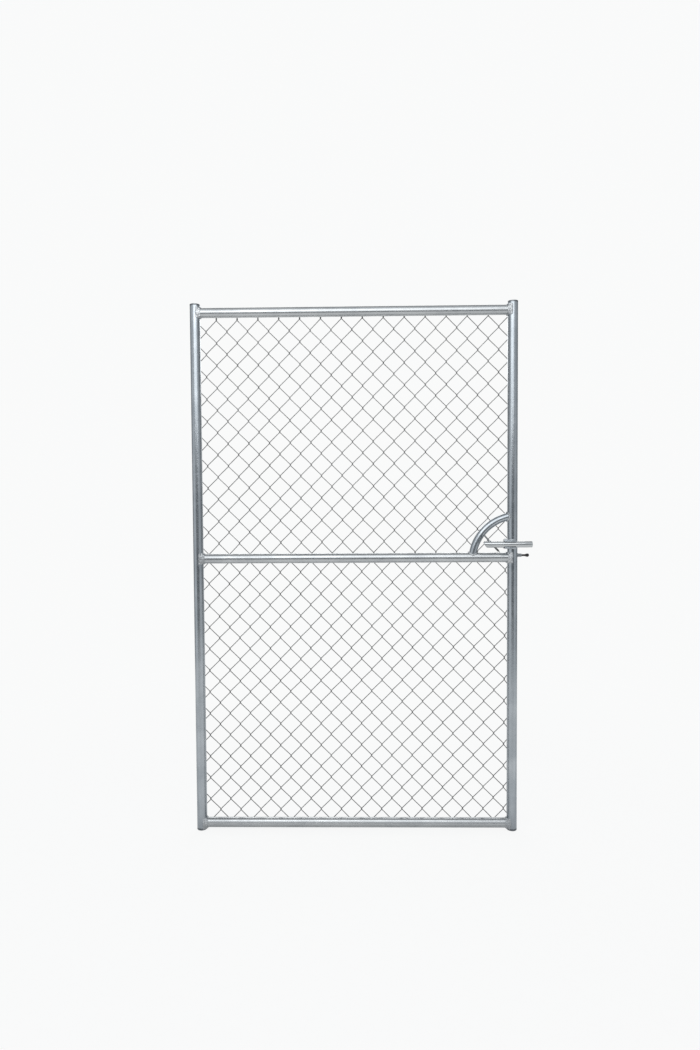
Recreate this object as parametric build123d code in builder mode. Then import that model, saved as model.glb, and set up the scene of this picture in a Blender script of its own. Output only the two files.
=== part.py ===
from build123d import *
import os
from math import atan2, cos, degrees, floor, hypot, pi, radians, sin, sqrt, tan

os.makedirs("parts", exist_ok=True)

# Chain-link gate leaf: welded tube frame, two fabric panels, hand-hole brace and slide bolt.
# Millimetres. +X runs from the hinge stile to the latch stile, +Y away from the viewer, +Z up.
# The origin is the centre of the hinge stile's flat foot.

# Frame
gate_height = 1829.0
stile_spacing = 1087.2
stile_od = 34.9
rail_undersize = 1.5  # the saddle closes on the stile
tube_wall = 1.65
cap_thickness = 2.5
cap_chamfer = 0.8
top_rail_drop = 29.9
middle_rail_z = 954.0
bottom_rail_z = 23.1

# Weld beads at the saddle joints
bead_width = 4.5
bead_height = 3.0
bead_land = 1.0

# Hand-hole brace, from its two joints, measured between axes
brace_od = 26.7
brace_bend_radius = 155.0
brace_rise = 145.3
brace_reach = 139.5
brace_slope_at_stile = 17.0
brace_slope_at_rail = 13.8

# Slide bolt, its finger rod and its guide channel
bolt_od = 21.3
bolt_wall = 2.8
bolt_length = 163.5
bolt_projection = 42.15
bolt_rise = 46.7
bolt_mitre = 10.5
bolt_nose = 2.0
finger_od = 5.6
finger_length = 29.9
finger_lean = 40.9
finger_position = 28.7
guide_length = 40.0
guide_past_axis = 4.8
guide_wall = 3.0
guide_lip = 3.0
guide_clearance = 0.8

# Gate stop on the latch side
stop_rise = 7.2
stop_stem_od = 11.2
stop_stem_length = 13.9
buffer_neck_od = 7.4
buffer_neck_length = 14.0
buffer_head_od = 11.8
buffer_head_length = 12.0
buffer_chamfer = 1.6

# Chain-link fabric
wire_diameter = 3.0
tail_past_top_rail = 2.0
tail_past_bottom_rail = 9.0
tail_gap = 3.0

# Derived sizes
stile_r = stile_od / 2
rail_r = (stile_od - rail_undersize) / 2
brace_r = brace_od / 2
bolt_r = bolt_od / 2
top_rail_z = gate_height - top_rail_drop
fabric_front_y = stile_r
wire_size = wire_diameter * sqrt(pi) / 2  # square of the same area
outer_face_x = stile_spacing + stile_r
bolt_z = middle_rail_z + bolt_rise
bolt_end_x = outer_face_x + bolt_projection
bolt_tip_x = bolt_end_x - bolt_length
guide_web_y = -stile_r - guide_wall
bolt_y = guide_web_y - guide_clearance - bolt_r

# How each fabric panel hangs: its first grid point from the hinge stile's axis and below the rail
# over it, the half pitches, and how far out of true it was stretched. Odd panels start between
# two nodes.
panels = {
    "upper": dict(
        first_x=-3.3, drop=21.8, half_pitch_x=36.11, half_pitch_z=38.61,
        tilt_deg=0.50, skew_deg=0.06, odd=0,
        rails=(top_rail_z, middle_rail_z),
        tails=(top_rail_z + tail_past_top_rail, middle_rail_z + tail_gap / 2),
    ),
    "lower": dict(
        first_x=-3.6, drop=14.3, half_pitch_x=35.71, half_pitch_z=38.32,
        tilt_deg=0.34, skew_deg=0.38, odd=1,
        rails=(middle_rail_z, bottom_rail_z),
        tails=(middle_rail_z - tail_gap / 2, bottom_rail_z - tail_past_bottom_rail),
    ),
}


def save(part, name):
    solid = part.part if isinstance(part, BuildPart) else part
    solid.label = name
    export_step(solid, f"parts/{name}.step")


def bar(start, end, radius):
    """Solid round bar between two points."""
    run = Vector(*end) - Vector(*start)
    with BuildPart() as solid:
        with Locations(Plane(origin=start, z_dir=run)):
            Cylinder(radius, run.length, align=(Align.CENTER, Align.CENTER, Align.MIN))
    return solid.part


def upright(x, radius, z0=0.0, z1=gate_height):
    return bar((x, 0, z0), (x, 0, z1), radius)


def crossbar(z, radius, x0=0.0, x1=stile_spacing, y=0.0):
    return bar((x0, y, z), (x1, y, z), radius)


# Stiles and their end caps
for name, x in (("hinge", 0.0), ("latch", stile_spacing)):
    foot_z, head_z = cap_thickness, gate_height - cap_thickness
    stile = upright(x, stile_r, foot_z, head_z)
    save(stile - upright(x, stile_r - tube_wall, foot_z, head_z), f"{name}_stile")
    for end, z0, outer_edge in (("foot", 0.0, 0), ("top", head_z, -1)):
        with BuildPart() as cap:
            with Locations((x, 0, z0)):
                Cylinder(stile_r, cap_thickness, align=(Align.CENTER, Align.CENTER, Align.MIN))
            chamfer(cap.edges().group_by(Axis.Z)[outer_edge], cap_chamfer)
        save(cap, f"{name}_{end}_cap")

# Rails, saddle-cut to the stiles, with a bead round each joint. A bead stays clear of the fabric.
stiles = {"hinge": upright(0, stile_r), "latch": upright(stile_spacing, stile_r)}
for name, z in (("top", top_rail_z), ("middle", middle_rail_z), ("bottom", bottom_rail_z)):
    rail = crossbar(z, rail_r)
    save(rail - crossbar(z, rail_r - tube_wall) - stiles["hinge"] - stiles["latch"], f"{name}_rail")
    for side, x, inward in (("hinge", 0.0, 1), ("latch", stile_spacing, -1)):
        collar = crossbar(z, rail_r + bead_height, *sorted((x + inward * bead_land, x + inward * stile_od)))
        shell = upright(x, stile_r + bead_width, z - stile_od, z + stile_od)
        with BuildPart() as before_fabric:
            with Locations((x, 0, z)):
                Box(4 * stile_od, 2 * fabric_front_y, 4 * stile_od)
        save((collar & shell & before_fabric.part) - stiles[side] - rail, f"{name}_{side}_weld")

# Hand-hole brace: a tube bent once between two straight ends, coped to the latch stile and the
# middle rail, with a bead at each end
stile_joint = (stile_spacing, middle_rail_z + brace_rise)
rail_joint = (stile_spacing - brace_reach, middle_rail_z)
fall, lean = tan(radians(brace_slope_at_stile)), tan(radians(brace_slope_at_rail))
corner_rise = (brace_rise - brace_reach * fall) / (1 - fall * lean)
corner = (rail_joint[0] + corner_rise * lean, middle_rail_z + corner_rise)


def brace_bar(radius):
    with BuildPart() as solid:
        with BuildLine(Plane.XZ):
            path = FilletPolyline(stile_joint, corner, rail_joint, radius=brace_bend_radius)
        with BuildSketch(Plane(origin=path @ 0, z_dir=path % 0)):
            Circle(radius)
        sweep()
    return solid.part


middle_core = crossbar(middle_rail_z, rail_r)
brace_core = brace_bar(brace_r)
save(brace_core - brace_bar(brace_r - tube_wall) - stiles["latch"] - middle_core, "hand_hole_brace")
stile_shell = upright(stile_spacing, stile_r + bead_width)
rail_shell = crossbar(middle_rail_z, rail_r + bead_width)
for name, (x, z), mate, shell in (
    ("stile", stile_joint, stiles["latch"], stile_shell),
    ("rail", rail_joint, middle_core, rail_shell),
):
    collar = bar((x, 0, z), (corner[0], 0, corner[1]), brace_r + bead_height)
    save((collar & shell) - mate - brace_core, f"brace_{name}_weld")

# Slide bolt: a tube with a blunt nose and a mitred inner end
with BuildPart() as kept_length:
    with BuildSketch(Plane.XZ.offset(-bolt_y)):
        with BuildLine():
            Polyline(
                (bolt_tip_x + bolt_nose, bolt_z + bolt_od),
                (bolt_tip_x + bolt_nose, bolt_z + bolt_r),
                (bolt_tip_x, bolt_z + bolt_r / 2),
                (bolt_tip_x + bolt_mitre, bolt_z - bolt_r),
                (bolt_tip_x + bolt_mitre, bolt_z - bolt_od),
                (bolt_end_x, bolt_z - bolt_od),
                (bolt_end_x, bolt_z + bolt_od),
                close=True,
            )
        make_face()
    extrude(amount=bolt_od, both=True)
bolt_core = crossbar(bolt_z, bolt_r, bolt_tip_x, bolt_end_x, bolt_y)
bolt_bore = crossbar(bolt_z, bolt_r - bolt_wall, bolt_tip_x, bolt_end_x, bolt_y)
save((bolt_core - bolt_bore) & kept_length.part, "slide_bolt")

# Finger rod, welded to the top of the bolt and leaning toward the hinge side
finger_foot_x = bolt_tip_x + finger_position
with BuildPart() as finger:
    with Locations(Location((finger_foot_x, bolt_y, bolt_z), (0, -finger_lean, 0))):
        Cylinder(finger_od / 2, bolt_r + finger_length, align=(Align.CENTER, Align.CENTER, Align.MIN))
    chamfer(finger.edges().sort_by(Axis.Z)[-1], finger_od / 5)
save(finger.part - bolt_core, "bolt_finger")

# Guide: a lipped channel welded to the front of the latch stile
room = bolt_r + guide_clearance
lip_inner_y = bolt_y - sqrt(bolt_r**2 - (room - guide_lip) ** 2) - guide_clearance
lip_outer_y = lip_inner_y - guide_wall
guide_end_x = stile_spacing + guide_past_axis
with BuildPart() as guide:
    with BuildSketch(Plane.YZ.offset(guide_end_x - guide_length)):
        with Locations(((lip_outer_y - stile_r) / 2, bolt_z)):
            Rectangle(-stile_r - lip_outer_y, 2 * (room + guide_wall))
        with Locations(((lip_inner_y + guide_web_y) / 2, bolt_z)):
            Rectangle(guide_web_y - lip_inner_y, 2 * room, mode=Mode.SUBTRACT)
        with Locations((lip_inner_y, bolt_z)):
            Rectangle(2 * guide_wall, 2 * (room - guide_lip), mode=Mode.SUBTRACT)
    extrude(amount=guide_length)
save(guide, "bolt_guide")

# Gate stop: a stub welded to the latch stile, with a rubber buffer
stop_z = middle_rail_z + stop_rise
stem_end_x = outer_face_x + stop_stem_length
neck_end_x = stem_end_x + buffer_neck_length
head_end_x = neck_end_x + buffer_head_length
save(crossbar(stop_z, stop_stem_od / 2, stile_spacing, stem_end_x) - stiles["latch"], "stop_stem")
with BuildPart() as buffer:
    with BuildSketch(Plane.XZ):
        with BuildLine():
            Polyline(
                (stem_end_x, stop_z),
                (stem_end_x, stop_z + buffer_neck_od / 2),
                (neck_end_x, stop_z + buffer_neck_od / 2),
                (neck_end_x + buffer_chamfer, stop_z + buffer_head_od / 2),
                (head_end_x - buffer_chamfer, stop_z + buffer_head_od / 2),
                (head_end_x, stop_z + buffer_head_od / 2 - buffer_chamfer),
                (head_end_x, stop_z),
                close=True,
            )
        make_face()
    revolve(axis=Axis((0, 0, stop_z), (1, 0, 0)))
save(buffer, "stop_buffer")


# Chain-link fabric. A panel is a grid of nodes where wires hook over one another: column i runs
# toward the latch, row j runs down, and every other grid point is a node. The flattened coils put
# every rising wire in the front layer and every falling wire in the rear layer.
def grid_point(panel, i, j):
    across, down = i * panel["half_pitch_x"], j * panel["half_pitch_z"]
    tilt, skew = radians(panel["tilt_deg"]), radians(panel["skew_deg"])
    x = panel["first_x"] + across * cos(tilt) - down * sin(skew)
    return x, panel["rails"][0] - panel["drop"] + across * sin(tilt) - down


def wire(start, end, front_y):
    """Straight square wire between two nodes, lapped half a wire past both."""
    (x0, z0), (x1, z1) = start, end
    length, angle = hypot(x1 - x0, z1 - z0), degrees(atan2(z1 - z0, x1 - x0))
    straight = Solid.make_box(length + wire_size, wire_size, wire_size)
    straight = straight.translate((-wire_size / 2, 0, -wire_size / 2)).rotate(Axis.Y, -angle)
    return straight.translate((x0, front_y, z0))


for name, panel in panels.items():
    columns = floor((outer_face_x - panel["first_x"]) / panel["half_pitch_x"])
    rows_end_z = panel["rails"][1] - rail_r
    rows = floor((panel["rails"][0] - panel["drop"] - rows_end_z) / panel["half_pitch_z"])
    odd, wires = panel["odd"], []
    for c in range(1, columns + rows):
        if (c + odd) % 2 == 0:
            a, b = max(0, c - rows), min(columns, c)
            wires.append(wire(grid_point(panel, a, c - a), grid_point(panel, b, c - b), fabric_front_y))
    for d in range(1 - rows, columns):
        if (d + odd) % 2 == 0:
            a, b = max(0, d), min(columns, d + rows)
            ends = grid_point(panel, a, a - d), grid_point(panel, b, b - d)
            wires.append(wire(*ends, fabric_front_y + wire_size))
    for j, tail_z in zip((0, rows), panel["tails"]):
        for i in range(columns + 1):
            if (i + j + odd) % 2 == 0:
                x, z = grid_point(panel, i, j)
                tail = Solid.make_box(wire_size, 2 * wire_size, abs(tail_z - z))
                wires.append(tail.translate((x - wire_size / 2, fabric_front_y, min(z, tail_z))))
    save(wires[0].fuse(*wires[1:]), f"{name}_fabric")
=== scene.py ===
# Finish, wires, welds and studio of the chain-link gate

import math
import random

import bmesh
import bpy
from mathutils import Matrix, Vector, noise


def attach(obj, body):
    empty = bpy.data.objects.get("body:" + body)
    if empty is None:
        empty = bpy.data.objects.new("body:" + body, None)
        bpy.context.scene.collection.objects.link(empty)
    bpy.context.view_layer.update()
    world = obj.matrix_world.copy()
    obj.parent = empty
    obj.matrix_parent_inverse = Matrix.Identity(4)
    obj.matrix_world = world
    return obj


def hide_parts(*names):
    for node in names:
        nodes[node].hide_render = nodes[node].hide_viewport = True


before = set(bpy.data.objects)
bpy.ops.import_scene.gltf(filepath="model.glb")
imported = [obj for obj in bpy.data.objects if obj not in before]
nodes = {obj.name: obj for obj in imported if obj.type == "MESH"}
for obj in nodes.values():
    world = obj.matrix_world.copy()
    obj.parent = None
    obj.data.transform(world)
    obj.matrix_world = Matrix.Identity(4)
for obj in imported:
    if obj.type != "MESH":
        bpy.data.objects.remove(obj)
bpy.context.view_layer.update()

MM = 0.001
dice = random.Random(11)

# Sizes of the gate in millimetres, the same as in its CAD source: _R is a radius, _X, _Y and _Z a place

STILE_X = (0.0, 1087.2)
STILE_R = 17.45
RAIL_R = 16.7
RAIL_Z = {"top": 1799.1, "middle": 954.0, "bottom": 23.1}
GATE_HEIGHT = 1829.0
CAP = 2.5
BRACE_R = 13.35
BRACE_STILE_JOINT = (1087.2, 1099.3)
BRACE_RAIL_JOINT = (947.7, 954.0)
BRACE_CORNER = (975.02, 1064.99)
BOLT_R = 10.65
BOLT_WALL = 2.8
BOLT_Y = -31.9
BOLT_Z = 1000.7
BOLT_TIP_X = 983.3
BOLT_END_X = 1146.8
BOLT_NOSE = 2.0
BOLT_MITRE = 10.5
FINGER_R = 2.8
FINGER_FROM_TIP = 28.7
FINGER_LEAN = 40.9
GUIDE_X = (1052.0, 1092.0)
GUIDE_FRONT_Y = -42.18
GUIDE_WALL = 3.0
GUIDE_LIP = 3.0
GUIDE_ROOM = 11.45
STOP_Z = 961.2
STOP_STEM_R = 5.6
STOP_STEM_END_X = 1118.55


# Camera at the photograph's viewpoint

SENSOR_WIDTH = 36.0
FOCAL_PIXELS = 650.0
PHOTO_HEIGHT_PIXELS = 1050.0
CAMERA_PLACE = (0.56466, -2.24720, 1.14833)
CAMERA_RIGHT = (0.99985, 0.016171, -0.006281)
CAMERA_FORWARD = (-0.016384, 0.999239, -0.035407)


def make_camera():
    camera = bpy.data.objects.new("camera", bpy.data.cameras.new("camera"))
    bpy.context.scene.collection.objects.link(camera)
    camera.data.sensor_width = SENSOR_WIDTH
    camera.data.lens = SENSOR_WIDTH * FOCAL_PIXELS / PHOTO_HEIGHT_PIXELS
    camera.data.clip_start = 0.05
    camera.data.clip_end = 60.0
    right = Vector(CAMERA_RIGHT).normalized()
    forward = Vector(CAMERA_FORWARD).normalized()
    up = right.cross(forward).normalized()
    turn = Matrix((right, up, -forward)).transposed().to_4x4()
    camera.matrix_world = Matrix.Translation(CAMERA_PLACE) @ turn
    bpy.context.scene.camera = camera
    bpy.context.scene.view_settings.view_transform = "Standard"


# Materials


class Graph:
    """Short names for building a node tree."""

    def __init__(self, tree):
        self.tree = tree
        self.tree.nodes.clear()

    def add(self, kind, inputs=None, **settings):
        node = self.tree.nodes.new(kind)
        for key, value in settings.items():
            setattr(node, key, value)
        for key, value in (inputs or {}).items():
            self.put(node.inputs[key], value)
        return node

    def put(self, socket, value):
        if isinstance(value, bpy.types.NodeSocket):
            self.tree.links.new(value, socket)
        else:
            socket.default_value = value

    def math(self, operation, a, b=0.0, c=0.0):
        node = self.add("ShaderNodeMath", operation=operation)
        for socket, value in zip(node.inputs, (a, b, c)):
            self.put(socket, value)
        return node.outputs[0]

    def mix(self, factor, a, b, blend="MIX"):
        node = self.add("ShaderNodeMix", data_type="RGBA", blend_type=blend)
        for key, value in ((0, factor), (6, a), (7, b)):
            self.put(node.inputs[key], value)
        return node.outputs[2]

    def ramp(self, value, low, high, to_low=0.0, to_high=1.0):
        """Eased step from to_low to to_high while the value goes from low to high."""
        node = self.add("ShaderNodeMapRange", interpolation_type="SMOOTHSTEP")
        for socket, number in zip(node.inputs, (value, low, high, to_low, to_high)):
            self.put(socket, number)
        return node.outputs[0]

    def noise(self, vector, scale, detail=4.0, roughness=0.55, distortion=0.0):
        node = self.add("ShaderNodeTexNoise")
        for key, value in (("Vector", vector), ("Scale", scale), ("Detail", detail)):
            self.put(node.inputs[key], value)
        node.inputs["Roughness"].default_value = roughness
        node.inputs["Distortion"].default_value = distortion
        return node.outputs["Fac"]


def start_material(name):
    material = bpy.data.materials.new(name)
    material.use_nodes = True
    graph = Graph(material.node_tree)
    shader = graph.add("ShaderNodeBsdfPrincipled")
    graph.add("ShaderNodeOutputMaterial", {"Surface": shader.outputs[0]})
    place = graph.add("ShaderNodeTexCoord").outputs["Object"]
    return material, graph, shader, place


# Tones of rubbed zinc and of the painted shade at the stiles' ends, and the depth that the finest relief
# stands for
RUBBED = (0.66, 0.67, 0.68, 1.0)
END_SHADE_TONE = (0.12, 0.13, 0.14, 1.0)
RELIEF = 0.0002


def end_shade_share(g, place, ends):
    """Share of painted shade below the first height and above the second, with ragged borders."""
    border, share = 0.003, 0.85
    height = g.add("ShaderNodeSeparateXYZ", {"Vector": place}).outputs[2]
    ragged = g.math("MULTIPLY_ADD", g.noise(place, 130.0, detail=3.0), 0.004, height)
    below = g.ramp(ragged, ends[0], ends[0] + border, share, 0.0)
    above = g.ramp(ragged, ends[1], ends[1] + border, 0.0, share)
    return g.math("MAXIMUM", below, above)


def metal_relief(g, place, stretched, crystal, lumps):
    """Bump of fine pits, drawn lines and crystal edges, and of small lumps where there are any."""
    pits = g.noise(place, 1500.0, detail=3.0, roughness=0.6)
    drawn = g.noise(stretched, 60.0, roughness=0.6)
    height = g.math("MULTIPLY_ADD", drawn, 0.8, g.math("MULTIPLY", pits, 0.30))
    height = g.math("MULTIPLY_ADD", crystal, 0.05, height)
    if lumps:
        height = g.math("MULTIPLY_ADD", g.noise(place, 420.0, detail=3.0), lumps, height)
    bump = g.add("ShaderNodeBump", {"Height": height, "Strength": 0.22, "Distance": RELIEF})
    return bump.outputs[0]


def zinc(name, tones, roughness, spangle=120.0, grain=(1.0, 1.0, 1.0), wear=0.0, lumps=0.0, ends=()):
    """Zinc-coated steel: crystal spangle, clouded patina, drawn streaks along the grain and fine pits.

    tones are the dark, the light and the grey tone of the coat. wear rubs it bright along X. ends gives
    two heights in metres, below and above which the coat is darkened and dulled: painted shade at the foot
    and under the top cap.
    """
    dark, light, grey = tones
    material, g, shader, place = start_material(name)
    stretched = g.add("ShaderNodeMapping", {"Vector": place, "Scale": grain}).outputs[0]
    bent = g.add("ShaderNodeTexNoise", {"Vector": place, "Scale": 40.0, "Detail": 2.0}).outputs["Color"]
    warped = g.mix(0.004, place, bent, "ADD")
    cells = g.add("ShaderNodeTexVoronoi", {"Vector": warped, "Scale": spangle}).outputs["Color"]
    crystal = g.add("ShaderNodeSeparateColor", {"Color": cells}).outputs[0]
    cloud = g.ramp(g.noise(place, 7.0, detail=6.0, roughness=0.62, distortion=0.4), 0.34, 0.68)
    streak = g.ramp(g.noise(stretched, 26.0, detail=5.0, roughness=0.6), 0.3, 0.72)
    tone = g.mix(cloud, dark, light)
    tone = g.mix(g.math("MULTIPLY", crystal, 0.30), tone, light)
    tone = g.mix(g.math("MULTIPLY", streak, 0.22), tone, grey)
    gloss = g.math("MULTIPLY_ADD", crystal, 0.06, roughness - 0.06)
    gloss = g.math("MULTIPLY_ADD", streak, 0.07, gloss)
    gloss = g.math("MULTIPLY_ADD", cloud, -0.03, gloss)
    if wear:
        along_x = g.add("ShaderNodeMapping", {"Vector": place, "Scale": (3.0, 160.0, 160.0)}).outputs[0]
        rubbed = g.ramp(g.noise(along_x, 9.0), 0.56, 0.66, 0.0, wear)
        tone = g.mix(rubbed, tone, RUBBED)
        gloss = g.math("MULTIPLY_ADD", rubbed, -0.10, gloss)
    # Painted shade: darker, duller bands at the stile's foot and under its top cap
    if ends:
        end_shade = end_shade_share(g, place, ends)
        tone = g.mix(end_shade, tone, END_SHADE_TONE)
        gloss = g.math("MULTIPLY_ADD", end_shade, 0.10, gloss)
    shader.inputs["Metallic"].default_value = 1.0
    g.put(shader.inputs["Base Color"], tone)
    g.put(shader.inputs["Roughness"], gloss)
    g.put(shader.inputs["Normal"], metal_relief(g, place, stretched, crystal, lumps))
    return material


def rubber(name):
    """Moulded black rubber with a dusty bloom and a fine skin."""
    black, dusty = (0.010, 0.010, 0.011, 1.0), (0.030, 0.030, 0.032, 1.0)
    material, g, shader, place = start_material(name)
    bloom = g.ramp(g.noise(place, 160.0, detail=5.0, roughness=0.65), 0.42, 0.75)
    g.put(shader.inputs["Base Color"], g.mix(bloom, black, dusty))
    g.put(shader.inputs["Roughness"], g.math("MULTIPLY_ADD", bloom, 0.22, 0.42))
    skin = g.noise(place, 1400.0, roughness=0.7)
    bump = g.add("ShaderNodeBump", {"Height": skin, "Strength": 0.3, "Distance": RELIEF})
    g.put(shader.inputs["Normal"], bump.outputs[0])
    return material


# Dark, light and grey tone of each coat
TUBE_TONES = ((0.33, 0.365, 0.395, 1.0), (0.45, 0.485, 0.515, 1.0), (0.30, 0.325, 0.345, 1.0))
RAIL_TONES = ((0.41, 0.43, 0.445, 1.0), (0.53, 0.55, 0.56, 1.0), (0.36, 0.375, 0.385, 1.0))
CAP_TONES = ((0.25, 0.27, 0.285, 1.0), (0.38, 0.40, 0.42, 1.0), (0.20, 0.21, 0.22, 1.0))
DULL_TONES = ((0.17, 0.185, 0.20, 1.0), (0.30, 0.32, 0.335, 1.0), (0.13, 0.14, 0.15, 1.0))
WELD_TONES = ((0.37, 0.39, 0.405, 1.0), (0.55, 0.57, 0.585, 1.0), (0.29, 0.305, 0.32, 1.0))
WIRE_TONES = ((0.22, 0.222, 0.22, 1.0), (0.31, 0.312, 0.31, 1.0), (0.17, 0.172, 0.17, 1.0))
# Scales that stretch the streaks along a tube
UPRIGHT = (6.0, 6.0, 0.35)
LEVEL = (0.35, 6.0, 6.0)

# ends paints shade on the stiles' feet and under their top caps
stile_zinc = zinc("stile_zinc", TUBE_TONES, 0.27, grain=UPRIGHT, ends=(0.008, 1.823))
rail_zinc = zinc("rail_zinc", RAIL_TONES, 0.30, grain=LEVEL)
brace_zinc = zinc("brace_zinc", TUBE_TONES, 0.27, spangle=150.0)
cap_zinc = zinc("cap_zinc", CAP_TONES, 0.36, spangle=160.0, lumps=0.5)
stem_zinc = zinc("stem_zinc", DULL_TONES, 0.40, spangle=200.0, lumps=0.6)
weld_zinc = zinc("weld_zinc", WELD_TONES, 0.36, spangle=260.0, lumps=1.6)
wire_zinc = zinc("wire_zinc", WIRE_TONES, 0.42, spangle=320.0, grain=(1.6, 1.6, 1.6))
bolt_zinc = zinc("bolt_zinc", RAIL_TONES, 0.21, spangle=170.0, grain=LEVEL, wear=0.5)
guide_zinc = zinc("guide_zinc", TUBE_TONES, 0.36, spangle=180.0, lumps=0.8)
buffer_rubber = rubber("buffer_rubber")


# Mesh helpers


def make_piece(name, bm, material, body, stands_for=(), sharp=None, melt=0.0):
    """Turns a bmesh into a piece that rides on a body.

    stands_for names the CAD nodes that it replaces. sharp is the angle, in degrees, from which an edge
    stays sharp. melt, in millimetres, runs overlapping lumps together as weld metal does.
    """
    mesh = bpy.data.meshes.new(name)
    bmesh.ops.recalc_face_normals(bm, faces=bm.faces)
    bm.to_mesh(mesh)
    bm.free()
    piece = bpy.data.objects.new(name, mesh)
    bpy.context.scene.collection.objects.link(piece)
    mesh.materials.append(material)
    mesh.shade_smooth()
    if sharp is not None:
        mesh.set_sharp_from_angle(angle=math.radians(sharp))
    if melt:
        remesh = piece.modifiers.new("melt", "REMESH")
        remesh.mode = "VOXEL"
        remesh.voxel_size = melt * MM
        remesh.use_smooth_shade = True
        ease = piece.modifiers.new("ease", "SMOOTH")
        ease.factor, ease.iterations = 0.5, 3
    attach(piece, body)
    if stands_for:
        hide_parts(*stands_for)
    return piece


def bridge(bm, rings):
    """Faces between each ring of vertices and the next."""
    for one, two in zip(rings, rings[1:]):
        for n in range(len(one)):
            m = (n + 1) % len(one)
            bm.faces.new((one[n], one[m], two[m], two[n]))


def sweep_tube(bm, points, radius, sides=8, closed=False):
    """Round tube along points, given in millimetres. radius is a number or one number for each point."""
    points = [Vector(p) for p in points]
    count = len(points)
    radii = radius if isinstance(radius, (list, tuple)) else [radius] * count
    normal = None
    rings = []
    for n, point in enumerate(points):
        before = points[n - 1] if (n or closed) else point
        after = points[(n + 1) % count] if (n < count - 1 or closed) else point
        along = (after - before).normalized()
        if normal is None:
            normal = along.orthogonal().normalized()
        normal = (normal - along * normal.dot(along)).normalized()
        other = along.cross(normal)
        ring = []
        for s in range(sides):
            a = 2 * math.pi * s / sides
            spot = point + (normal * math.cos(a) + other * math.sin(a)) * radii[n]
            ring.append(bm.verts.new(spot * MM))
        rings.append(ring)
    if closed:
        bridge(bm, rings + rings[:1])
    else:
        bridge(bm, rings)
        bm.faces.new(rings[0][::-1])
        bm.faces.new(rings[-1])


def lathe(bm, profile, origin, axis, sides):
    """Turns a profile of (distance along the axis, radius) pairs, in millimetres, about an axis."""
    axis = Vector(axis).normalized()
    one = axis.orthogonal().normalized()
    two = axis.cross(one)
    origin = Vector(origin)
    rings = []
    for along, radius in profile:
        if radius == 0.0:
            rings.append([bm.verts.new((origin + axis * along) * MM)])
            continue
        ring = []
        for s in range(sides):
            a = 2 * math.pi * s / sides
            spot = origin + axis * along + (one * math.cos(a) + two * math.sin(a)) * radius
            ring.append(bm.verts.new(spot * MM))
        rings.append(ring)
    for lower, upper in zip(rings, rings[1:]):
        for s in range(sides):
            t = (s + 1) % sides
            corners = [lower[s % len(lower)], lower[t % len(lower)]]
            corners += [upper[t % len(upper)], upper[s % len(upper)]]
            corners = list(dict.fromkeys(corners))
            if len(corners) > 2:
                bm.faces.new(corners)


def rounded(corners, steps=5):
    """Closed outline with its corners rounded; each corner is (x, y, radius)."""
    outline = []
    for n, (x, y, radius) in enumerate(corners):
        here = Vector((x, y))
        back = (Vector(corners[n - 1][:2]) - here).normalized()
        ahead = (Vector(corners[(n + 1) % len(corners)][:2]) - here).normalized()
        one, two = here + back * radius, here + ahead * radius
        for k in range(steps + 1):
            t = k / steps
            outline.append(one * (1 - t) ** 2 + here * 2 * t * (1 - t) + two * t * t)
    return outline


def extruded(bm, outline, x0, x1, edge):
    """Outline in the plane of Y and Z run along X, with both ends eased."""
    rings = []
    for x, inset in ((x0, edge), (x0 + 0.3 * edge, 0.3 * edge), (x0 + edge, 0), (x1 - edge, 0),
                     (x1 - 0.3 * edge, 0.3 * edge), (x1, edge)):
        ring = []
        for n, p in enumerate(outline):
            run = (outline[(n + 1) % len(outline)] - outline[n - 1]).normalized()
            spot = p + Vector((-run.y, run.x)) * inset
            ring.append(bm.verts.new(Vector((x, spot.x, spot.y)) * MM))
        rings.append(ring)
    bridge(bm, rings)
    bmesh.ops.triangulate(bm, faces=[bm.faces.new(rings[0][::-1]), bm.faces.new(rings[-1])])


# Weld metal


def seam(start, direction, radius, mate_point, mate_axis, mate_radius, count):
    """Line where a tube's surface meets another round tube, and the outward direction at each point."""
    start, direction = Vector(start), Vector(direction).normalized()
    mate_point, mate_axis = Vector(mate_point), Vector(mate_axis).normalized()
    one = direction.orthogonal().normalized()
    two = direction.cross(one)
    line = []
    for n in range(count):
        a = 2 * math.pi * n / count
        out = one * math.cos(a) + two * math.sin(a)
        base = start + out * radius - mate_point
        across_base = base - mate_axis * base.dot(mate_axis)
        across_run = direction - mate_axis * direction.dot(mate_axis)
        k2 = across_run.dot(across_run)
        k1 = 2 * across_base.dot(across_run)
        k0 = across_base.dot(across_base) - mate_radius**2
        root = math.sqrt(max(0.0, k1 * k1 - 4 * k2 * k0))
        spot = start + out * radius + direction * ((-k1 + root) / (2 * k2))
        from_mate = spot - mate_point
        from_mate = (from_mate - mate_axis * from_mate.dot(mate_axis)).normalized()
        line.append((spot, (out + from_mate).normalized()))
    return line


def weld_line(bm, line, size, ripple=2.3, seed=0.0, rear_limit=None):
    """Rippled weld bead laid along a closed seam. rear_limit is the largest Y that it may reach."""
    wander, lift = 0.35, 0.30
    length = sum((line[n][0] - line[n - 1][0]).length for n in range(len(line)))
    waves = max(6, round(length / ripple))
    points, radii = [], []
    for n, (spot, out) in enumerate(line):
        share = n / len(line)
        wave = 0.5 + 0.5 * math.sin(2 * math.pi * waves * share)
        rough = noise.noise(spot * 0.16 + Vector((seed, 0.0, 0.0)))
        fine = noise.noise(spot * 0.55 + Vector((0.0, seed, 0.0)))
        radius = size * (0.92 + 0.10 * wave + wander * 0.55 * rough + 0.12 * fine)
        centre = spot + out * size * (lift + 0.18 * rough)
        if rear_limit is not None and centre.y + radius > rear_limit:
            radius = max(0.35 * size, rear_limit - centre.y)
            centre.y = min(centre.y, rear_limit - radius)
        points.append(centre)
        radii.append(radius)
    sweep_tube(bm, points, radii, 10, closed=True)


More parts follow.
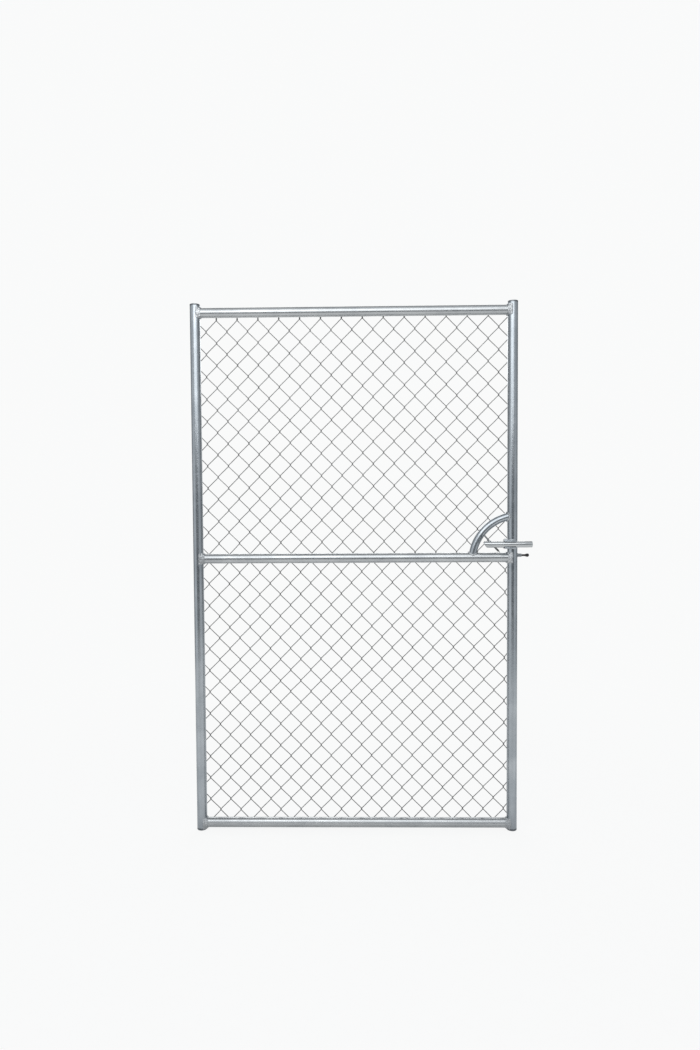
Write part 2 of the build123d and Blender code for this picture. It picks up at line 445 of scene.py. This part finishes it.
def blob(bm, centre, size, seed, sides=14, rings=8):
    """Small lump of weld metal, flattened and uneven."""
    centre, size = Vector(centre), Vector(size)
    lump = bmesh.ops.create_uvsphere(bm, u_segments=sides, v_segments=rings, radius=1.0)
    for v in lump["verts"]:
        bulge = 1.0 + 0.16 * noise.noise(v.co * 1.4 + Vector((seed, seed, 0.0)))
        v.co = Vector((centre[k] + v.co[k] * size[k] * bulge for k in range(3))) * MM


# Weld beads round the rail ends

RAIL_BEAD_R = 2.8
RAIL_BEAD_SHIFT = 1.8
RAIL_BEAD_REAR_Y = 17.4
# How far from the stile's centreline the lumps on the front of each joint lie, in columns
FRONT_WELD = {
    ("top", "hinge"): (9.0, 13.5, 17.5), ("top", "latch"): (7.0, 11.5, 16.0),
    ("middle", "hinge"): (7.5, 12.0, 16.5, 20.5), ("middle", "latch"): (4.8, 9.0, 13.5),
    ("bottom", "hinge"): (9.0, 13.5, 18.0), ("bottom", "latch"): (10.0, 14.5, 19.0),
}
FRONT_RISES = (-15.5, -10.5, -5.5, 0.0, 5.5, 10.5, 15.5)
SPATTER_DROPS = 4


def front_lumps(bm, x, z, inward, columns):
    """Rows of lumps on the front of a joint, each on whichever tube stands further out there."""
    for column in columns:
        for rise in FRONT_RISES:
            from_centre = column + dice.uniform(-0.9, 0.9)
            depth = math.sqrt(max(RAIL_R**2 - rise**2, STILE_R**2 - from_centre**2))
            lump = (x + inward * from_centre, -depth - 0.1, z + rise + dice.uniform(-0.8, 0.8))
            size = (dice.uniform(3.8, 4.7), dice.uniform(1.8, 2.6), dice.uniform(3.8, 4.6))
            blob(bm, lump, size, seed=z + x + column + rise, sides=12, rings=8)


def spatter(bm, x, z, inward):
    """Drops on the front of the rail, just past its bead."""
    for _ in range(SPATTER_DROPS):
        angle = dice.uniform(math.radians(200), math.radians(340))
        spot = (x + inward * dice.uniform(19, 23), RAIL_R * math.sin(angle), z + RAIL_R * math.cos(angle))
        size = dice.uniform(0.9, 1.4)
        blob(bm, spot, (size, size, size), seed=dice.random() * 9, sides=8, rings=5)


def make_rail_beads():
    for level, z in RAIL_Z.items():
        for side, x, inward in (("hinge", STILE_X[0], 1), ("latch", STILE_X[1], -1)):
            bm = bmesh.new()
            line = seam((x, 0, z), (inward, 0, 0), RAIL_R, (x, 0, 0), (0, 0, 1), STILE_R, 230)
            line = [(spot + Vector((RAIL_BEAD_SHIFT * inward, 0, 0)), out) for spot, out in line]
            weld_line(bm, line, RAIL_BEAD_R, seed=z * 0.01 + x * 0.003, rear_limit=RAIL_BEAD_REAR_Y)
            front_lumps(bm, x, z, inward, FRONT_WELD[level, side])
            spatter(bm, x, z, inward)
            make_piece(f"{level}_{side}_bead", bm, weld_zinc, "leaf",
                       [f"{level}_{side}_weld"], melt=0.6)


# Weld beads at the ends of the hand-hole brace

BRACE_BEAD_R = 3.5
BRACE_BEAD_RIPPLE = 3.4
BRACE_LUMP = (4.2, 2.8, 4.2)


def make_brace_beads():
    joints = (
        ("stile", BRACE_STILE_JOINT, (STILE_X[1], 0, 0), (0, 0, 1), STILE_R),
        ("rail", BRACE_RAIL_JOINT, (0, 0, RAIL_Z["middle"]), (1, 0, 0), RAIL_R),
    )
    for name, joint, mate, mate_axis, mate_radius in joints:
        bm = bmesh.new()
        start = Vector((joint[0], 0, joint[1]))
        run = Vector((BRACE_CORNER[0], 0, BRACE_CORNER[1])) - start
        line = seam(start, run, BRACE_R, mate, mate_axis, mate_radius, 200)
        weld_line(bm, line, BRACE_BEAD_R, ripple=BRACE_BEAD_RIPPLE, seed=joint[0] * 0.02)
        for spot, out in line[::13]:
            if out.y < -0.45:
                blob(bm, spot + out * 0.8, BRACE_LUMP, seed=spot.x + spot.z)
        make_piece(f"brace_{name}_bead", bm, weld_zinc, "leaf",
                   [f"brace_{name}_weld"], melt=0.6)


# Caps of the stiles: a shallow dome on top, a flat disc at the foot


def make_caps():
    top = [(0.0, STILE_R - 0.25), (0.35, STILE_R), (1.25, STILE_R), (1.65, STILE_R - 0.3),
           (1.9, STILE_R - 1.0)]
    top += [(1.9 + 0.6 * math.sin(math.radians(a)), (STILE_R - 1.2) * math.cos(math.radians(a)))
            for a in (12, 24, 38, 52, 66, 78)]
    top += [(CAP, 0.0)]
    foot = [(0.0, 0.0), (0.0, STILE_R - 1.1), (0.25, STILE_R - 0.45), (0.8, STILE_R), (2.1, STILE_R),
            (CAP, STILE_R - 0.25)]
    for side, x in zip(("hinge", "latch"), STILE_X):
        bm = bmesh.new()
        lathe(bm, top, (x, 0, GATE_HEIGHT - CAP), (0, 0, 1), 48)
        make_piece(f"{side}_top_cap_dome", bm, cap_zinc, "leaf",
                   [f"{side}_top_cap"], sharp=50)
        bm = bmesh.new()
        lathe(bm, foot, (x, 0, 0), (0, 0, 1), 48)
        make_piece(f"{side}_foot_cap_disc", bm, cap_zinc, "leaf",
                   [f"{side}_foot_cap"], sharp=50)


# Chain-link fabric: each wire is one flattened zigzag that runs from rail to rail and hooks round its
# neighbours at the nodes. Rising strands lie in front, falling strands behind, and the cut ends at the
# two rails are twisted together in pairs.

WIRE_R = 1.45
FABRIC_MID_Y = 20.11
LAYER = 1.21  # from the fabric's middle to the centre of a strand
HOOK = 1.9  # how far a wire reaches past its node
HOOK_RUN = 3.6  # from a node to where the wire starts to bend
TWIST_RUN = 6.0  # the same at the first and last node
TWIST_STEP = 1.6
TWIST_PITCH = 13.0
UNEVEN = 0.22  # spread of the nodes' places
EDGE_X = 1092.5  # the last wire's tips stay on the back of the latch stile
TAIL_PAST_TOP = 2.0
TAIL_PAST_BOTTOM = 9.0
TAIL_HALF_GAP = 1.5  # between the two panels' ends, behind the middle rail
PANELS = {
    "upper": dict(first_x=-3.3, top_z=RAIL_Z["top"] - 21.8, pitch=(36.11, 38.61), tilt=0.50, skew=0.06,
                  odd=0, columns=30, rows=21, rails=("top", "middle"), cut_at=29,
                  tails=(RAIL_Z["top"] + TAIL_PAST_TOP, RAIL_Z["middle"] + TAIL_HALF_GAP)),
    "lower": dict(first_x=-3.6, top_z=RAIL_Z["middle"] - 14.3, pitch=(35.71, 38.32), tilt=0.34, skew=0.38,
                  odd=1, columns=31, rows=24, rails=("middle", "bottom"), cut_at=None,
                  tails=(RAIL_Z["middle"] - TAIL_HALF_GAP, RAIL_Z["bottom"] - TAIL_PAST_BOTTOM)),
}
# The wire that is cut beside the bolt: how far its two stubs run past their node, and the coil it leaves
CUT_STUB = 4.0
CUT_TAIL = 20.0
COIL_WIRE_R = 1.3
COIL_TURNS = 6.5
COIL_START = 2.0
COIL_LENGTH = 19.0
COIL_POINTS = 100


def is_node(panel, i, j):
    """Whether two wires meet at a place of the grid, which is every second one."""
    return (i + j + panel["odd"]) % 2 == 0


def grid_point(panel, i, j):
    across, down = i * panel["pitch"][0], j * panel["pitch"][1]
    tilt, skew = math.radians(panel["tilt"]), math.radians(panel["skew"])
    x = panel["first_x"] + across * math.cos(tilt) - down * math.sin(skew)
    return x, panel["top_z"] + across * math.sin(tilt) - down


def bend(start, corner_in, corner_out, end, steps):
    """Points of a cubic curve, without its first point."""
    points = []
    for n in range(1, steps + 1):
        t = n / steps
        s = 1 - t
        points.append(start * s**3 + corner_in * 3 * s * s * t + corner_out * 3 * s * t * t + end * t**3)
    return points


def twist(x, z_node, z_end, phase):
    """Cut end of a wire, twisted round its neighbour's: from the node to the end."""
    length = abs(z_end - z_node)
    steps = max(4, round(length / TWIST_STEP))
    turns = length / TWIST_PITCH
    points = []
    for n in range(1, steps + 1):
        a = phase + 2 * math.pi * turns * n / steps
        z = z_node + (z_end - z_node) * n / steps
        points.append(Vector((x + WIRE_R * math.cos(a), FABRIC_MID_Y + LAYER * math.sin(a), z)))
    return points


def wire_tips(panel, k):
    """Where the wire between columns k and k + 1 turns, from top to bottom: x, z, side and column."""
    tips = []
    for j in range(panel["rows"] + 1):
        left = is_node(panel, k, j)
        i = k if left else k + 1
        x, z = grid_point(panel, i, j)
        tips.append((min(x, EDGE_X), z, -1 if left else 1, i))
    if k == panel["cut_at"]:
        tips.pop()
    return tips


def zigzag(panel, k, jitter):
    """Centreline of the wire between columns k and k + 1, from top to bottom."""
    tips = wire_tips(panel, k)
    last = len(tips) - 1

    def hook(j):
        """How far the wire reaches past its node; it hooks nothing at its ends and at a free edge."""
        side, i = tips[j][2:]
        return HOOK * side if 0 < j < last and 0 < i < panel["columns"] else 0.0

    points = []
    for j, (x, z, side, i) in enumerate(tips):
        dx, dz = jitter[i, j]
        here = Vector((x + hook(j) + dx, 0, z + dz))
        come = Vector((0, FABRIC_MID_Y + LAYER * side, 0))
        leave = Vector((0, FABRIC_MID_Y - LAYER * side, 0))
        runs = [(Vector((tips[other][0] + hook(other), 0, tips[other][1])) - here).normalized()
                for other in (j - 1, j + 1) if 0 <= other <= last]
        if j == 0:
            points += twist(x, z, panel["tails"][0], -side * math.pi / 2)[::-1]
            points += bend(points[-1], Vector((x, leave.y, z)), here + runs[0] * 2.0 + leave,
                           here + runs[0] * TWIST_RUN + leave, 4)
        elif j == last and k == panel["cut_at"]:
            points.append(here - runs[0] * CUT_STUB + come)
        elif j == last and i == panel["cut_at"]:
            points.append(here - runs[0] * CUT_TAIL + come)
        elif j == last:
            head = here + runs[0] * TWIST_RUN + come
            tail = twist(x, z, panel["tails"][1], side * math.pi / 2)
            points.append(head)
            points += bend(head, here + runs[0] * 2.0 + come, Vector((x, come.y, z)), tail[0], 4)
            points += tail[1:]
        else:
            start = here + runs[0] * HOOK_RUN + come
            end = here + runs[1] * HOOK_RUN + leave
            points.append(start)
            points += bend(start, here + come, here + leave, end, 6)
    return points


def cut_coil(panel):
    """Centreline of the cut wire's coil round its neighbour, flattened where it lies behind it."""
    ends = [grid_point(panel, panel["cut_at"] - back, panel["rows"] - back) for back in (1, 0)]
    start, end = (Vector((x, FABRIC_MID_Y + LAYER, z)) for x, z in ends)
    along = (end - start).normalized()
    rearward = Vector((0, 1, 0))
    side = along.cross(rearward)
    reach = 2 * WIRE_R * 0.96
    points = []
    for n in range(COIL_POINTS):
        share = n / (COIL_POINTS - 1)
        a = 2 * math.pi * COIL_TURNS * share
        turned = side * math.cos(a) + rearward * min(0.05, math.sin(a))
        points.append(end + along * (COIL_START - COIL_LENGTH * share) + turned * reach)
    return points


def make_fabric():
    for name, panel in PANELS.items():
        jitter = {(i, j): (dice.gauss(0, UNEVEN), dice.gauss(0, UNEVEN))
                  for i in range(panel["columns"] + 2) for j in range(panel["rows"] + 1)}
        bm = bmesh.new()
        for k in range(panel["columns"]):
            sweep_tube(bm, zigzag(panel, k, jitter), WIRE_R, 8)
        if panel["cut_at"]:
            sweep_tube(bm, cut_coil(panel), COIL_WIRE_R, 7)
        make_piece(f"{name}_mesh_wires", bm, wire_zinc, "leaf", [f"{name}_fabric"], sharp=60)


# Tack welds that hold the edge wires to the backs of the stiles and the twisted ends to the rails

STILE_TACK = (4.4, 3.4, 3.6)
STILE_TACK_REAR_Y = 18.6
RAIL_TACK = (3.6, 2.6, 3.0)
RAIL_TACK_Y = 17.5
RAIL_TACK_REACH = 6.0  # the furthest that a tack lies above or below the rail's axis
CLEAR_OF_STILE = 25.0


def stile_tacks(bm, panel):
    for j in range(1, panel["rows"]):
        for i, stile_x in ((0, STILE_X[0]), (panel["columns"], STILE_X[1])):
            if is_node(panel, i, j):
                x, z = grid_point(panel, i, j)
                x = min(x, EDGE_X)
                depth = min(STILE_TACK_REAR_Y, math.sqrt(STILE_R**2 - (x - stile_x) ** 2) + 2.3)
                blob(bm, (x, depth, z), STILE_TACK, seed=dice.random() * 20, sides=12, rings=8)


def rail_tacks(bm, panel):
    for j, level, shift in ((0, panel["rails"][0], 8), (panel["rows"], panel["rails"][1], -4)):
        lowest, highest = RAIL_Z[level] - RAIL_TACK_REACH, RAIL_Z[level] + RAIL_TACK_REACH
        for i in range(panel["columns"] + 1):
            cut = i == panel["cut_at"] and j == panel["rows"]
            x, z = grid_point(panel, i, j)
            if is_node(panel, i, j) and not cut and CLEAR_OF_STILE < x < STILE_X[1] - CLEAR_OF_STILE:
                spot = (x, RAIL_TACK_Y, max(lowest, min(highest, z + shift)))
                blob(bm, spot, RAIL_TACK, seed=dice.random() * 20, sides=12, rings=8)


def make_tacks():
    bm = bmesh.new()
    for panel in PANELS.values():
        stile_tacks(bm, panel)
        rail_tacks(bm, panel)
    make_piece("fabric_tacks", bm, weld_zinc, "leaf", melt=0.7)


# Rubber buffer: a narrow neck under a rounded head

BUFFER_HEAD_X = 20.0  # middle of the head, from the stem's end
BUFFER_HEAD_HALF = 6.0
BUFFER_HEAD_R = 5.9


def make_buffer():
    bm = bmesh.new()
    profile = [(0.0, 0.0), (0.0, 3.7), (0.5, 3.95), (1.2, 3.7), (4.2, 3.35), (8.0, 3.35), (11.5, 3.5),
               (13.2, 3.9), (14.0, 4.7)]
    profile += [(BUFFER_HEAD_X - BUFFER_HEAD_HALF * math.cos(math.radians(a)),
                 BUFFER_HEAD_R * math.sin(math.radians(a)) ** 0.8)
                for a in (58, 72, 86, 100, 114, 128, 142, 156, 168)]
    profile.append((BUFFER_HEAD_X + BUFFER_HEAD_HALF, 0.0))
    lathe(bm, profile, (STOP_STEM_END_X, 0, STOP_Z), (1, 0, 0), 36)
    make_piece("stop_buffer_rubber", bm, buffer_rubber, "leaf", ["stop_buffer"])


# Bolt guide: strap folded round the bolt and turned in at its lips, with its welds

GUIDE_BEAD_RISE = 14.4
# Lumps where the strap's upper edge runs on past the stile: x, rise and size
GUIDE_LUMPS = ((1054.6, 1.9, 3.0), (1058.2, 3.1, 3.4), (1062.4, 2.4, 3.2), (1066.6, 1.2, 2.6))


def make_bolt_guide():
    back, front = -STILE_R, GUIDE_FRONT_Y
    inner_back, inner_front = back - GUIDE_WALL, front + GUIDE_WALL
    room, top = GUIDE_ROOM, GUIDE_ROOM + GUIDE_WALL
    lip = room - GUIDE_LIP
    section = [(back, -top, 0.6), (back, top, 0.6), (front, top, 3.4), (front, lip, 1.4),
               (inner_front, lip, 1.2), (inner_front, room, 1.0), (inner_back, room, 1.0),
               (inner_back, -room, 1.0), (inner_front, -room, 1.0), (inner_front, -lip, 1.2),
               (front, -lip, 1.4), (front, -top, 3.4)]
    outline = [Vector((p.x, p.y + BOLT_Z)) for p in rounded(section)]
    bm = bmesh.new()
    extruded(bm, outline, GUIDE_X[0], GUIDE_X[1], 0.5)
    make_piece("bolt_guide_strap", bm, guide_zinc, "leaf", ["bolt_guide"], sharp=40)


def make_guide_beads():
    bm = bmesh.new()
    for edge in (1, -1):
        z = BOLT_Z + edge * GUIDE_BEAD_RISE
        for n in range(9):
            x = STILE_X[1] - 13.0 + n * 2.6
            depth = math.sqrt(max(0.0, STILE_R**2 - (x - STILE_X[1]) ** 2))
            spot = (x, -max(depth, 13.5) - 0.6, z + edge * dice.uniform(0.0, 0.9))
            blob(bm, spot, (2.1, 2.0, 2.0 + dice.uniform(0, 0.6)), seed=n * 1.7 + z, sides=12, rings=7)
    for n, (x, rise, size) in enumerate(GUIDE_LUMPS):
        spot = (x, -22.5 - 0.6 * n, BOLT_Z + GUIDE_BEAD_RISE + rise * 0.6)
        blob(bm, spot, (size, 3.2, size), seed=n * 3.1)
    make_piece("guide_beads", bm, weld_zinc, "leaf", melt=0.5)


# Slide bolt: thick tube, its inner end mitred and blunted, its outer end cut square

BOLT_SIDES = 56


def nose_x(z):
    """Where the bolt's inner end is, at a height above its axis."""
    if z > BOLT_R / 2:
        return BOLT_TIP_X + BOLT_NOSE * ((z - BOLT_R / 2) / (BOLT_R / 2)) ** 2
    return BOLT_TIP_X + BOLT_MITRE * ((BOLT_R / 2 - z) / (1.5 * BOLT_R))


def make_slide_bolt():
    bore = BOLT_R - BOLT_WALL
    stations = [("nose", 1.2, bore), ("nose", 0.0, bore + 0.4), ("nose", 0.0, BOLT_R - 0.7),
                ("nose", 0.25, BOLT_R - 0.2), ("nose", 0.9, BOLT_R)]
    stations += [("run", x, BOLT_R) for x in (1000.0, 1030.0, 1060.0, 1090.0, 1120.0)]
    stations += [("run", BOLT_END_X - 0.6, BOLT_R), ("run", BOLT_END_X - 0.15, BOLT_R - 0.15),
                 ("run", BOLT_END_X, BOLT_R - 0.6), ("run", BOLT_END_X, bore + 0.4),
                 ("run", BOLT_END_X - 0.4, bore)]
    bm = bmesh.new()
    rings = []
    for kind, x, radius in stations:
        ring = []
        for n in range(BOLT_SIDES):
            a = 2 * math.pi * n / BOLT_SIDES
            y, z = radius * math.cos(a), radius * math.sin(a)
            from_nose = nose_x(z) if kind == "nose" else 0.0
            ring.append(bm.verts.new(Vector((x + from_nose, BOLT_Y + y, BOLT_Z + z)) * MM))
        rings.append(ring)
    bridge(bm, rings + rings[:1])
    make_piece("slide_bolt_tube", bm, bolt_zinc, "bolt", ["slide_bolt"], sharp=40)


# Beads of the gate stop and the finger rod


def make_stop_bead():
    bm = bmesh.new()
    line = seam((STILE_X[1], 0, STOP_Z), (1, 0, 0), STOP_STEM_R, (STILE_X[1], 0, 0), (0, 0, 1), STILE_R, 90)
    weld_line(bm, line, 1.5, ripple=2.0, seed=4.0)
    make_piece("stop_bead", bm, weld_zinc, "leaf", melt=0.4)


def make_finger_bead():
    bm = bmesh.new()
    lean = math.radians(-FINGER_LEAN)
    rod = Vector((math.sin(lean), 0, math.cos(lean)))
    start = Vector((BOLT_TIP_X + FINGER_FROM_TIP, BOLT_Y, BOLT_Z))
    line = seam(start, rod, FINGER_R, (0, BOLT_Y, BOLT_Z), (1, 0, 0), BOLT_R, 60)
    weld_line(bm, line, 1.4, ripple=1.8, seed=7.0)
    foot = start + rod * (BOLT_R / rod.z)
    for n, shift in enumerate((-3.4, -0.6, 2.2)):
        blob(bm, foot + Vector((shift, -1.6, 1.4 - 0.3 * n)), (2.6, 2.4, 2.2), seed=2.0 + n)
    make_piece("finger_bead", bm, weld_zinc, "bolt", melt=0.4)


# CAD nodes that keep their shape

NODE_FINISH = {
    "hinge_stile": stile_zinc, "latch_stile": stile_zinc,
    "top_rail": rail_zinc, "middle_rail": rail_zinc, "bottom_rail": rail_zinc,
    "hand_hole_brace": brace_zinc, "stop_stem": stem_zinc, "bolt_finger": stem_zinc,
}


def finish_nodes():
    for name, material in NODE_FINISH.items():
        nodes[name].data.materials.clear()
        nodes[name].data.materials.append(material)


# Studio: a floor and a world that are white for the camera and grey for the metal, and soft lights

PAPER = (0.995, 1.0, 1.0, 1.0)
BACKDROP = 0.957  # brightness of the paper behind the gate
FLOOR_RADIUS = 3.0
FLOOR_CENTRE = (0.54, 0.0, 0.0)
FLOOR_FADE = (0.9, 2.3)  # from the centre, where the floor passes into the backdrop


def mirror_rays(g, path):
    return g.math("MAXIMUM", path["Is Glossy Ray"], path["Is Transmission Ray"])


def floor_paint():
    """Paper-white to the camera. Mirrored in the metal it darkens near and behind the gate: painted shade,
    seen only in reflections.
    """
    material = bpy.data.materials.new("floor_paint")
    material.use_nodes = True
    g = Graph(material.node_tree)
    path = g.add("ShaderNodeLightPath").outputs
    place = g.add("ShaderNodeTexCoord").outputs["Object"]
    away = g.add("ShaderNodeVectorMath", {0: place}, operation="LENGTH").outputs["Value"]
    across = g.add("ShaderNodeSeparateXYZ", {"Vector": place}).outputs[1]
    # painted shade along the gate's line and behind it, for mirror rays only
    shade = g.ramp(g.math("ABSOLUTE", across), 0.0, 0.22, 0.75, 0.0)
    shade = g.math("MAXIMUM", shade, g.ramp(across, 0.0, 0.25, 0.0, 0.35))
    mirrored = g.math("MULTIPLY", mirror_rays(g, path), g.math("SUBTRACT", 1.0, shade))
    seen = g.math("MAXIMUM", path["Is Camera Ray"], mirrored)
    share = g.math("MULTIPLY", seen, g.ramp(away, *FLOOR_FADE, 0.88, 1.0))
    strength = g.ramp(away, *FLOOR_FADE, 1.0, BACKDROP)
    speck = g.ramp(g.noise(place, 30.0, detail=6.0, roughness=0.7), 0.3, 0.7, 0.80, 0.84)
    paint = g.add("ShaderNodeCombineColor", {0: speck, 1: speck, 2: speck})
    matt = g.add("ShaderNodeBsdfDiffuse", {"Color": paint.outputs[0]})
    white = g.add("ShaderNodeEmission", {"Color": PAPER, "Strength": strength})
    both = g.add("ShaderNodeMixShader", {0: share, 1: matt.outputs[0], 2: white.outputs[0]})
    g.add("ShaderNodeOutputMaterial", {"Surface": both.outputs[0]})
    return material


def make_floor():
    bm = bmesh.new()
    bmesh.ops.create_circle(bm, cap_ends=True, segments=96, radius=FLOOR_RADIUS)
    mesh = bpy.data.meshes.new("floor")
    bm.to_mesh(mesh)
    bm.free()
    floor = bpy.data.objects.new("floor", mesh)
    bpy.context.scene.collection.objects.link(floor)
    floor.location = FLOOR_CENTRE
    mesh.materials.append(floor_paint())


def make_world():
    """Paper for the camera and behind the gate in reflections; a grey studio to the sides and in front."""
    world = bpy.data.worlds.new("studio")
    bpy.context.scene.world = world
    world.use_nodes = True
    g = Graph(world.node_tree)
    path = g.add("ShaderNodeLightPath").outputs
    paper = [channel * BACKDROP for channel in PAPER]
    way = g.add("ShaderNodeTexCoord").outputs["Generated"]
    parts = g.add("ShaderNodeSeparateXYZ", {"Vector": way}).outputs
    front = g.ramp(g.math("MULTIPLY", parts[1], -1.0), 0.72, 0.97)
    low = g.ramp(parts[2], 0.02, 0.26, 1.0, 0.0)
    back = g.ramp(parts[1], 0.50, 0.85)
    behind = g.ramp(parts[1], -0.25, 0.30)
    right_side = g.ramp(parts[0], 0.45, 0.95)
    grey = g.mix(right_side, (0.82, 0.84, 0.86, 1.0), (0.58, 0.60, 0.62, 1.0))
    grey = g.mix(behind, grey, (0.33, 0.34, 0.35, 1.0))
    grey = g.mix(g.math("MULTIPLY", front, low), grey, (0.17, 0.18, 0.19, 1.0))
    mirrored = g.mix(back, grey, paper)
    tone = g.mix(mirror_rays(g, path), (0.55, 0.56, 0.57, 1.0), mirrored)
    tone = g.mix(path["Is Camera Ray"], tone, paper)
    backdrop = g.add("ShaderNodeBackground", {"Color": tone, "Strength": 1.0})
    g.add("ShaderNodeOutputWorld", {"Surface": backdrop.outputs[0]})


def soft_light(name, centre, target, size, radiance):
    """Rectangular soft light; its power follows from its area and the brightness of its face."""
    light = bpy.data.lights.new(name, "AREA")
    light.shape = "RECTANGLE"
    light.size, light.size_y = size
    light.energy = radiance * math.pi * size[0] * size[1]
    lamp = bpy.data.objects.new(name, light)
    bpy.context.scene.collection.objects.link(lamp)
    lamp.location = centre
    lamp.rotation_euler = (Vector(target) - Vector(centre)).to_track_quat("-Z", "Y").to_euler()
    lamp.visible_camera = False


def make_lights():
    soft_light("key", (0.38, -1.60, 2.35), target=(0.38, 0.0, 1.81), size=(2.35, 1.55), radiance=1.45)
    soft_light("key_left", (0.05, -1.60, 2.30), target=(0.1, 0.0, 1.3), size=(0.7, 1.1), radiance=0.5)
    soft_light("rear", (0.55, 2.30, 2.50), target=(0.55, 0.0, 1.40), size=(2.6, 1.0), radiance=1.8)


make_camera()
make_rail_beads()
make_brace_beads()
make_caps()
make_fabric()
make_tacks()
make_buffer()
make_bolt_guide()
make_guide_beads()
make_slide_bolt()
make_stop_bead()
make_finger_bead()
finish_nodes()
make_floor()
make_world()
make_lights()
